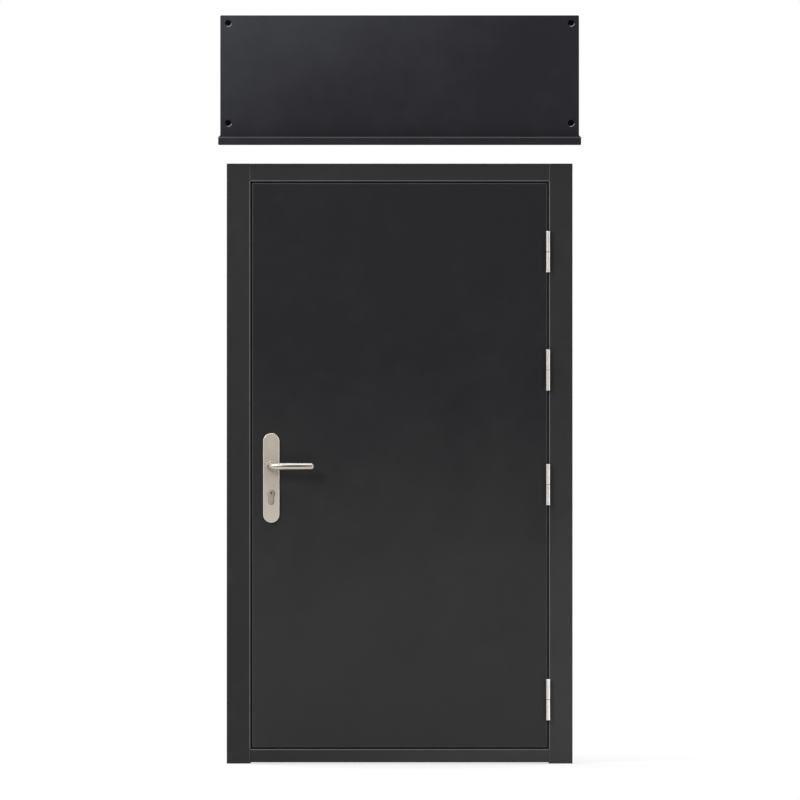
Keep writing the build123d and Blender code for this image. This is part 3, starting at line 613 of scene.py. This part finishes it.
# %% [markdown]
# ## Places that wear or carry painted light
# Each mask is worked out from where the piece sits. The plate is a stadium: the distance from its
# straight middle line gives the rim, where a highlight is painted. A plug's keyway lies behind its
# end face. The others simply rise along one axis: the low parts, with a painted reflection of the
# pale floor, the neck and the two sides of a lever, the sides with painted reflections, and the
# painted lit and shaded sides of the knuckles and of the ring round the lock.

# %% Masks for the neck and for painted light, shade and reflections
HINGE_REFLECTION_FROM = 1.2  # heights in metres
HINGE_REFLECTION_BY = 0.2
plate_low, plate_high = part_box("outside_plate")
plate_middle = (plate_low + plate_high) / 2
lever_middle = sum(end.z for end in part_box("outside_lever")) / 2
hinge_middle = sum(end.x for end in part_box("hinge_1_washer")) / 2


def rising_near(axis, middle, start_mm, end_mm):
    """Maker of a mask that rises between two places, given in mm from a middle."""
    return rising(axis, middle + start_mm * MM, middle + end_mm * MM)


# Painted reflection: the lower half of the plate is lighter, as if it mirrored the pale floor.
plate_floor_reflection = rising("Z", plate_middle.z, plate_low.z)
# Painted reflection: the hinges lighten towards the floor, as if they mirrored it.
hinge_floor_reflection = rising("Z", HINGE_REFLECTION_FROM, HINGE_REFLECTION_BY)
lever_neck = rising_near("X", plate_middle.x, 16, -2)
# Painted reflections: a neutral tone on top of the bar and a lighter one on its underside.
lever_top_reflection = rising_near("Z", lever_middle, 2, 6)
lever_underside_reflection = rising_near("Z", lever_middle, -1, -5)
# Painted highlight: the left side of each knuckle, towards the main lamp, is lighter.
knuckle_lit_side = rising_near("X", hinge_middle, 3, -4)
# Painted light and shade: the left of the ring round the lock is lighter, the right darker.
ring_lit = rising_near("X", plate_middle.x, -4, -11)
ring_shaded = rising_near("X", plate_middle.x, 3, 10)
print("plate middle", [round(v, 3) for v in plate_middle],
      "lever", round(lever_middle, 3), "hinges", round(hinge_middle, 3))

# %% Masks for the rim and the keyway
RIM_STARTS = 3.6 * MM
RIM_FULL = 1.8 * MM
PLUG_FACE_SKIN = 0.3 * MM
plate_half_width = (plate_high.x - plate_low.x) / 2
plate_straight = (plate_high.z - plate_low.z) / 2 - plate_half_width
plug_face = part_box("outside_plug")[0].y


def plate_rim_highlight(tree, place):
    """Painted highlight on the softened rim of a lever plate."""
    centred = add_node(tree, "ShaderNodeVectorMath", {0: place, 1: plate_middle},
                       operation="SUBTRACT").outputs[0]
    one_end = add_node(tree, "ShaderNodeVectorMath", {0: centred}, operation="ABSOLUTE").outputs[0]
    past = add_node(tree, "ShaderNodeVectorMath", {0: one_end, 1: (0, 0, plate_straight)},
                    operation="SUBTRACT").outputs[0]
    past = add_node(tree, "ShaderNodeVectorMath", {0: past, 1: (0, 0, 0)},
                    operation="MAXIMUM").outputs[0]
    flat = add_node(tree, "ShaderNodeVectorMath", {0: past, 1: NO_DEPTH},
                    operation="MULTIPLY").outputs[0]
    distance = add_node(tree, "ShaderNodeVectorMath", {0: flat},
                        operation="LENGTH").outputs["Value"]
    return add_node(tree, "ShaderNodeMapRange",
                    {"Value": distance, "From Min": plate_half_width - RIM_STARTS,
                     "From Max": plate_half_width - RIM_FULL}).outputs["Result"]


def keyway(tree, place):
    """All of a plug but its end face: the keyway, black from graphite and from painted shade."""
    depth = add_node(tree, "ShaderNodeSeparateXYZ", {0: place}).outputs["Y"]
    depth = add_node(tree, "ShaderNodeMath", {0: depth}, operation="ABSOLUTE").outputs[0]
    return add_node(tree, "ShaderNodeMath", {0: depth, 1: -plug_face - PLUG_FACE_SKIN},
                    operation="LESS_THAN").outputs[0]


print("rim at", round(plate_half_width, 4), "plug face", round(plug_face, 4))

# %% [markdown]
# ## The metals with worn places and painted light
# These five share the maker of the even metals. What tells them apart is the tone, the direction of
# the grain and how sharply they mirror: a hand-polished bar mirrors bands of light and dark, a
# belt-brushed plate only a soft sheen. Painted highlights, reflections and shade are added in
# places.

# %% Metals with worn places and painted light
# Brushed stainless plate: a warm pale sheen with fine upright lines, a painted highlight at the rim
# and a painted reflection of the pale floor that lightens its lower half.
plate_steel = brushed_metal("stainless_steel_brushed_upright", "#c8beb2", "#d7cdc0", rough=0.52,
                            grain_mm=1.1, length_mm=60, grain_axis="Z",
                            worn=[(plate_floor_reflection, "#ded5ca", 0.52), (plate_rim_highlight, "#f4ece0", 0.42)])
# Brushed stainless bar: smooth enough to mirror the studio as a bright, a dark and a grey band, and
# painted reflections add a neutral tone on top and a pale one underneath.
bar_steel = brushed_metal("stainless_steel_brushed_bar", "#a49c92", "#b4aca2", rough=0.28,
                          grain_mm=1.0, length_mm=50, grain_axis="X", relief=0.03,
                          worn=[(lever_top_reflection, "#9f9b97", 0.28), (lever_underside_reflection, "#c9c1b7", 0.28),
                                (lever_neck, "#bab2a8", 0.5)])
# Satin stainless hinge: the palest thing on the door, with a painted highlight on the left side of
# each knuckle and a painted reflection of the floor that lightens the lower hinges.
hinge_steel = brushed_metal("stainless_steel_satin_hinge", "#b9b4ad", "#cbc6bf", rough=0.36,
                            grain_mm=1.0, length_mm=18, grain_axis="Z",
                            worn=[(knuckle_lit_side, "#ebe6df", 0.36), (hinge_floor_reflection, "#ebe6df", 0.36)])
# Matt nickel on brass: a grey-brown tone under the plate's, so the lock reads as an insert; the
# ring round the lock has a painted lit side on the left and painted shade on the right.
cylinder_nickel = brushed_metal("matt_nickel_on_brass", "#b2aa9e", "#c4bcb0", rough=0.5,
                                grain_mm=0.8, length_mm=8, grain_axis="Y", blotch_mm=12,
                                worn=[(ring_lit, "#e6ded2", 0.45), (ring_shaded, "#9d958a", 0.5)])
# Matt nickel plug: as the lock's body, with a keyway black from graphite and painted shade.
plug_nickel = brushed_metal("matt_nickel_plug", "#bab2a6", "#ccc4b8", rough=0.45,
                            grain_mm=0.8, length_mm=8, grain_axis="Y", blotch_mm=12,
                            worn=[(keyway, "#080808", 0.8)])
print("worn metals", [metal.name for metal in (plate_steel, bar_steel, hinge_steel,
                                               cylinder_nickel, plug_nickel)])

# %% [markdown]
# ## Blackened screws, rubber and filling
# The flashing's screws are blackened and sit deep in pressed dimples; their black is deepened into
# painted shade, so they read as dark holes.
# The sealing strip is matt rubber with a bloom of dust. The filling is mineral fibre and is only
# seen if the leaf is taken apart, but it still gets its matted fibres. The grain of all of them is
# finer than a pixel of the picture, so it is drawn a few millimetres wide.

# %% Dark and soft finishes
GRAIN_STEPS = (0.35, 0.7)
GRAIN_HEIGHT = 0.3 * MM


def mottled(name, dark, light, rough, grain_mm, lift, metal=0.0, shine=0.5):
    """Fine-grained matt finish with its grain in colour and relief."""
    material, tree, shader, place = new_material(name)
    grain = add_node(tree, "ShaderNodeTexNoise",
                     {"Vector": place, "Scale": 1 / (grain_mm * MM), "Detail": 5.0,
                      "Roughness": 0.6}).outputs["Fac"]
    steps = add_node(tree, "ShaderNodeValToRGB", {"Fac": grain})
    for step, position, tone in zip(steps.color_ramp.elements, GRAIN_STEPS, (dark, light)):
        step.position = position
        step.color = linear(tone)
    tree.links.new(steps.outputs["Color"], shader.inputs["Base Color"])
    bump = add_node(tree, "ShaderNodeBump",
                    {"Height": grain, "Strength": lift, "Distance": GRAIN_HEIGHT}).outputs[0]
    tree.links.new(bump, shader.inputs["Normal"])
    shader.inputs["Roughness"].default_value = rough
    shader.inputs["Metallic"].default_value = metal
    shader.inputs["Specular IOR Level"].default_value = shine
    return material


# Blackened steel, deepened into painted shade: it takes all light, so that a screw at the bottom of
# its cup looks like a hole.
black_screw = mottled("blackened_screw_steel", "#020202", "#060606", rough=0.6, grain_mm=2.0,
                      lift=0.1, shine=0.05)
# Sealing rubber: a dusty black that keeps the gap round the leaf dark.
seal_rubber = mottled("matt_sealing_rubber", "#0d0d0d", "#191919", rough=0.75, grain_mm=3.0,
                      lift=0.2)
# Mineral fibre: coarse, matted and yellowish, plainly not a part of the skin.
mineral_fibre = mottled("mineral_fibre_filling", "#7d7250", "#a89a70", rough=0.95, grain_mm=6.0,
                        lift=0.8)
# Sintered steel: a grey-black half-shine that sets the latch apart from the pale lock front.
latch_steel = mottled("dark_sintered_latch_steel", "#161616", "#242424", rough=0.5, grain_mm=2.0,
                      lift=0.1, metal=0.6)
# Bearing nylon: a thin dark ring that parts the two halves of a hinge.
bearing_nylon = mottled("dark_bearing_nylon", "#1c1c1c", "#2a2a2a", rough=0.55, grain_mm=2.0,
                        lift=0.1)
print("dark finishes", [finish.name for finish in (black_screw, seal_rubber, mineral_fibre,
                                                   latch_steel, bearing_nylon)])

# %% [markdown]
# ## Dressing the solids
# Every solid names the slot that its finish goes into. A few solids share a slot but not a finish,
# such as the lever and the plate that it turns on, and they are named one by one.

# %% Dress the solids
finish_of = {
    "frame_paint": frame_coat,
    "leaf_paint": leaf_coat,
    "panel_paint": panel_coat,
    "mineral_wool": mineral_fibre,
    "seal_rubber": seal_rubber,
    "zinc_steel": zinc,
    "black_screw": black_screw,
    "hinge_steel": hinge_steel,
    "satin_stainless": plate_steel,
    "nickel_brass": cylinder_nickel,
    "plated_steel": bolt_steel,
    "black_washer": bearing_nylon,
    "guard_nickel": cylinder_nickel,
}
special = {
    "outside_lever": bar_steel,
    "inside_lever": bar_steel,
    "outside_lever_cap": bar_steel,
    "inside_lever_cap": bar_steel,
    "outside_bush": ring_steel,
    "inside_bush": ring_steel,
    "forend": lock_steel,
    "strike_plate": lock_steel,
    "latch_bolt": latch_steel,
    "outside_plug": plug_nickel,
    "inside_plug": plug_nickel,
}
for entry in frame["record"]["subparts"]:
    solid = nodes[entry["node"]]
    solid.data.materials.clear()
    solid.data.materials.append(special.get(entry["node"], finish_of[entry["material_slot"]]))
print("dressed", len(nodes))

# %% [markdown]
# ## Screws with sockets
# The solids hold the screws as plain cones and rods. A real countersunk screw has a socket for the
# driver, a softened edge round its head and a chamfered tip. Cutting a socket out of a solid head
# takes a boolean, which leaves long thin faces. Here a screw is made as it is in the works. The
# blank is drawn ring by ring from its head down, as on a lathe, and then the socket is pressed in:
# a smaller face is inset in the head, six of its corners are pushed in to make six lobes, and the
# face is sunk.

# %% Pieces and loops
def add_piece(name, shape, body, material, replaced=()):
    """Make a bmesh into a piece that rides on a body and may stand for solids."""
    bmesh.ops.recalc_face_normals(shape, faces=shape.faces)
    mesh = bpy.data.meshes.new(name)
    shape.to_mesh(mesh)
    shape.free()
    mesh.materials.append(material)
    piece = bpy.data.objects.new(name, mesh)
    bpy.context.scene.collection.objects.link(piece)
    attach(piece, body)
    if replaced:
        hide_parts(*replaced)
    print("made", name, "on", body, "with", len(mesh.polygons), "faces")


def loop_of(shape, verts):
    """Edges that run between the given vertices."""
    held = set(verts)
    return [edge for edge in shape.edges if edge.verts[0] in held and edge.verts[1] in held]


def grow_loop(shape, edges):
    """Extrude a loop of edges in place; gives the new vertices and edges."""
    grown = bmesh.ops.extrude_edge_only(shape, edges=edges)["geom"]
    verts = [part for part in grown if isinstance(part, bmesh.types.BMVert)]
    return verts, loop_of(shape, verts)


# %% Blanks and sockets
ROUND = 24
LOBES = 6
LOBE_WAIST = 0.78


def screw(shape, rings, socket, depth, placing):
    """Screw along Z from rings of radius and height in mm, head first, with a socket; then it is
    placed."""
    before = set(shape.verts)
    radius, height = rings[0]
    made = bmesh.ops.create_circle(shape, cap_ends=True, segments=ROUND, radius=radius * MM)
    head = made["verts"][0].link_faces[0]
    edges = loop_of(shape, made["verts"])
    for next_radius, next_height in rings[1:]:
        verts, edges = grow_loop(shape, edges)
        bmesh.ops.scale(shape, verts=verts, vec=(next_radius / radius, next_radius / radius, 1))
        bmesh.ops.translate(shape, verts=verts, vec=(0, 0, (next_height - height) * MM))
        radius, height = next_radius, next_height
    bmesh.ops.holes_fill(shape, edges=edges, sides=0)
    margin = (rings[0][0] - socket / 2) * MM
    bmesh.ops.inset_individual(shape, faces=[head], thickness=margin, use_even_offset=True)
    inward = list(head.verts)[::ROUND // LOBES]
    bmesh.ops.scale(shape, verts=inward, vec=(LOBE_WAIST, LOBE_WAIST, 1))
    socket_floor = bmesh.ops.extrude_discrete_faces(shape, faces=[head])["faces"][0]
    bmesh.ops.translate(shape, verts=socket_floor.verts, vec=(0, 0, -depth * MM))
    placed = [vert for vert in shape.verts if vert not in before]
    bmesh.ops.transform(shape, matrix=placing, verts=placed)


def facing(point, direction):
    """Placing that turns Z to a direction at a point."""
    turn = Vector(direction).to_track_quat("Z", "Y").to_matrix().to_4x4()
    return Matrix.Translation(point) @ turn


print("screws of", ROUND, "sides with", LOBES, "lobes")

# %% Countersunk screws
HEAD_EDGE = 0.3
TIP_CHAMFER = 1


def countersunk(shape, placing, head, shank, length, socket):
    """Countersunk screw, its face at height 0; diameters and length in mm."""
    screw(shape, [
        (head / 2 - HEAD_EDGE, 0),
        (head / 2, -HEAD_EDGE),
        (shank / 2, (shank - head) / 2),
        (shank / 2, TIP_CHAMFER - length),
        (shank / 2 - TIP_CHAMFER, -length),
    ], socket, socket / 2, placing)


def screw_row(node, direction, body, head, shank, length, socket):
    """Replace a node's screws, one or two over one another, with their heads to a direction."""
    low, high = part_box(node)
    middle = [(low[i] + high[i]) / 2 for i in range(3)]
    face = [high[i] if direction[i] > 0 else low[i] if direction[i] < 0 else middle[i]
            for i in range(3)]
    heights = sorted({round(low.z + head / 2 * MM, 6), round(high.z - head / 2 * MM, 6)})
    shape = bmesh.new()
    for height in heights:
        placing = facing((face[0], face[1], height), direction)
        countersunk(shape, placing, head, shank, length, socket)
    add_piece(node + "_with_sockets", shape, body, bolt_steel, [node])


screw_row("plate_screws", (0, 1, 0), "leaf", head=11.0, shank=6.0, length=53.8, socket=4.4)
screw_row("forend_screws", (-1, 0, 0), "leaf", head=8.8, shank=5.0, length=12.0, socket=3.4)
screw_row("cylinder_screw", (-1, 0, 0), "leaf", head=8.8, shank=5.0, length=70.0, socket=3.4)
screw_row("strike_screws", (1, 0, 0), "frame", head=8.8, shank=5.0, length=10.0, socket=3.4)

# %% [markdown]
# ## Hinge screws
# Every hinge wing is held by two screws, one above the other. Their heights come from the wings
# themselves, so the screws stay put if the hinges move: a door half has its cap on top, a frame
# half has none.

# %% Hinge screws
HINGES = 4
SCREW_STEP = 18 * MM
CAP_HEIGHT = 4 * MM


def hinge_screws(node, half, cap, direction, body):
    """Replace all the screws in one kind of hinge wing."""
    low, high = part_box(node)
    face = high.x if direction[0] > 0 else low.x
    depth = (low.y + high.y) / 2
    shape = bmesh.new()
    for number in range(1, HINGES + 1):
        wing_low, wing_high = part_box(f"hinge_{number}_{half}")
        middle = (wing_low.z + wing_high.z - cap) / 2
        for step in (-SCREW_STEP, SCREW_STEP):
            placing = facing((face, depth, middle + step), direction)
            countersunk(shape, placing, head=9.2, shank=5.0, length=9.0, socket=3.6)
    add_piece(node + "_with_sockets", shape, body, bolt_steel, [node])


hinge_screws("door_hinge_screws", "door_half", CAP_HEIGHT, (1, 0, 0), "leaf")
hinge_screws("frame_hinge_screws", "frame_half", 0, (-1, 0, 0), "frame")

# %% [markdown]
# ## Screws of the flashing
# Four blackened screws with low round heads sit at the bottom of pressed cups. Seen from the front
# each is a black disc. The rim of a pressed or turned head is never sharp, so two more rings
# soften it.

# %% Screws of the flashing
FLASHING_SCREW = [(8.2, 0), (9.1, -0.4), (9.5, -1.3), (9.5, -4), (4, -4), (4, -29), (3, -30)]
shape = bmesh.new()
for across in (screw_low.x + SCREW_HEAD, screw_high.x - SCREW_HEAD):
    for height in (screw_low.z + SCREW_HEAD, screw_high.z - SCREW_HEAD):
        placing = facing((across, screw_low.y, height), (0, -1, 0))
        screw(shape, FLASHING_SCREW, socket=6.8, depth=2.5, placing=placing)
add_piece("flashing_screws", shape, "frame", black_screw, ["over_panel_screws"])

# %% [markdown]
# ## Sealing strip
# The leaf closes on a rubber strip that runs round the stop: a flat foot that is glued down, and a
# bulb that gives way. It is one piece, mitred at the corners. A curve with a bevel could draw it,
# but at its corners a bevelled curve grows thin. Here the section is drawn once in the mitre of one
# corner and is extruded to the next corner by mirroring, four times, and so every mitre is exact.

# %% Corners of the sealing strip
SEALS = ("lock_side_seal", "hinge_side_seal", "head_seal", "sill_seal")
FOOT_WIDTH = 8 * MM
FOOT_HEIGHT = 0.9 * MM
BULB = 1.3 * MM
BULB_SIDES = 20
SAME_POINT = 0.01 * MM
seal_boxes = [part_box(node) for node in SEALS]
strip_low = Vector(min(low[i] for low, _ in seal_boxes) for i in range(3))
strip_high = Vector(max(high[i] for _, high in seal_boxes) for i in range(3))
strip_middle = (strip_low + strip_high) / 2
print("strip from", [round(v, 4) for v in strip_low], "to", [round(v, 4) for v in strip_high])

# %% Sealing strip
def run_round(shape, verts):
    """Extrude a section in the mitre of one corner round the whole opening."""
    edges = loop_of(shape, verts)
    for mirror in ((1, 1, -1), (-1, 1, 1), (1, 1, -1), (-1, 1, 1)):
        verts, edges = grow_loop(shape, edges)
        bmesh.ops.scale(shape, verts=verts, vec=mirror, space=Matrix.Translation(-strip_middle))
    bmesh.ops.remove_doubles(shape, verts=shape.verts, dist=SAME_POINT)


def in_mitre(inset, lift):
    """Placing in the upper corner on the hinge side: X runs out along the mitre, Y to the leaf."""
    return Matrix(((1, 0, 0, strip_high.x - inset),
                   (0, -1, 0, strip_high.y - lift),
                   (1, 0, 0, strip_high.z - inset),
                   (0, 0, 0, 1)))


shape = bmesh.new()
to_foot = Matrix.Diagonal((FOOT_WIDTH / math.sqrt(2), FOOT_HEIGHT / math.sqrt(2), 1, 1))
square = to_foot @ Matrix.Rotation(math.radians(45), 4, "Z")
foot = bmesh.ops.create_circle(shape, segments=4, radius=1.0,
                               matrix=in_mitre(FOOT_WIDTH / 2, FOOT_HEIGHT / 2) @ square)
run_round(shape, foot["verts"])
bulb_lift = strip_high.y - strip_low.y - BULB
bulb = bmesh.ops.create_circle(shape, segments=BULB_SIDES, radius=BULB,
                               matrix=in_mitre(FOOT_WIDTH / 2, bulb_lift))
run_round(shape, bulb["verts"])
add_piece("sealing_strip", shape, "frame", seal_rubber, SEALS)

# %% [markdown]
# ## Wards in the keyways
# A keyway isn't a plain slot: ribs along its walls, the wards, let only the right blank in. Two
# ribs on opposite walls give the slot its crooked section. They start a little way in, so the face
# stays clean.

# %% Wards
WARD_BACK = 3 * MM
WARD_LENGTH = 14 * MM
WARD_WIDTH = 1.2 * MM
WARD_HEIGHT = 1.3 * MM
KEYWAY_HALF = 1.8 * MM
WARD_PLACES = ((-1, 4.0 * MM), (1, 1.0 * MM))  # wall, height over the middle
plug_low, plug_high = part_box("outside_plug")
plug_middle = (plug_low + plug_high) / 2
for side, outward in (("outside", -1), ("inside", 1)):
    plug_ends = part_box(f"{side}_plug")
    face = plug_ends[0].y if outward < 0 else plug_ends[1].y
    depth = face - outward * (WARD_BACK + WARD_LENGTH / 2)
    shape = bmesh.new()
    for wall, height in WARD_PLACES:
        cube = bmesh.ops.create_cube(shape, size=1.0)
        bmesh.ops.scale(shape, verts=cube["verts"], vec=(WARD_WIDTH, WARD_LENGTH, WARD_HEIGHT))
        across = plug_middle.x + wall * (KEYWAY_HALF - WARD_WIDTH / 2)
        bmesh.ops.translate(shape, verts=cube["verts"],
                            vec=(across, depth, plug_middle.z + height))
    add_piece(f"{side}_keyway_wards", shape, f"{side}_key", plug_nickel)
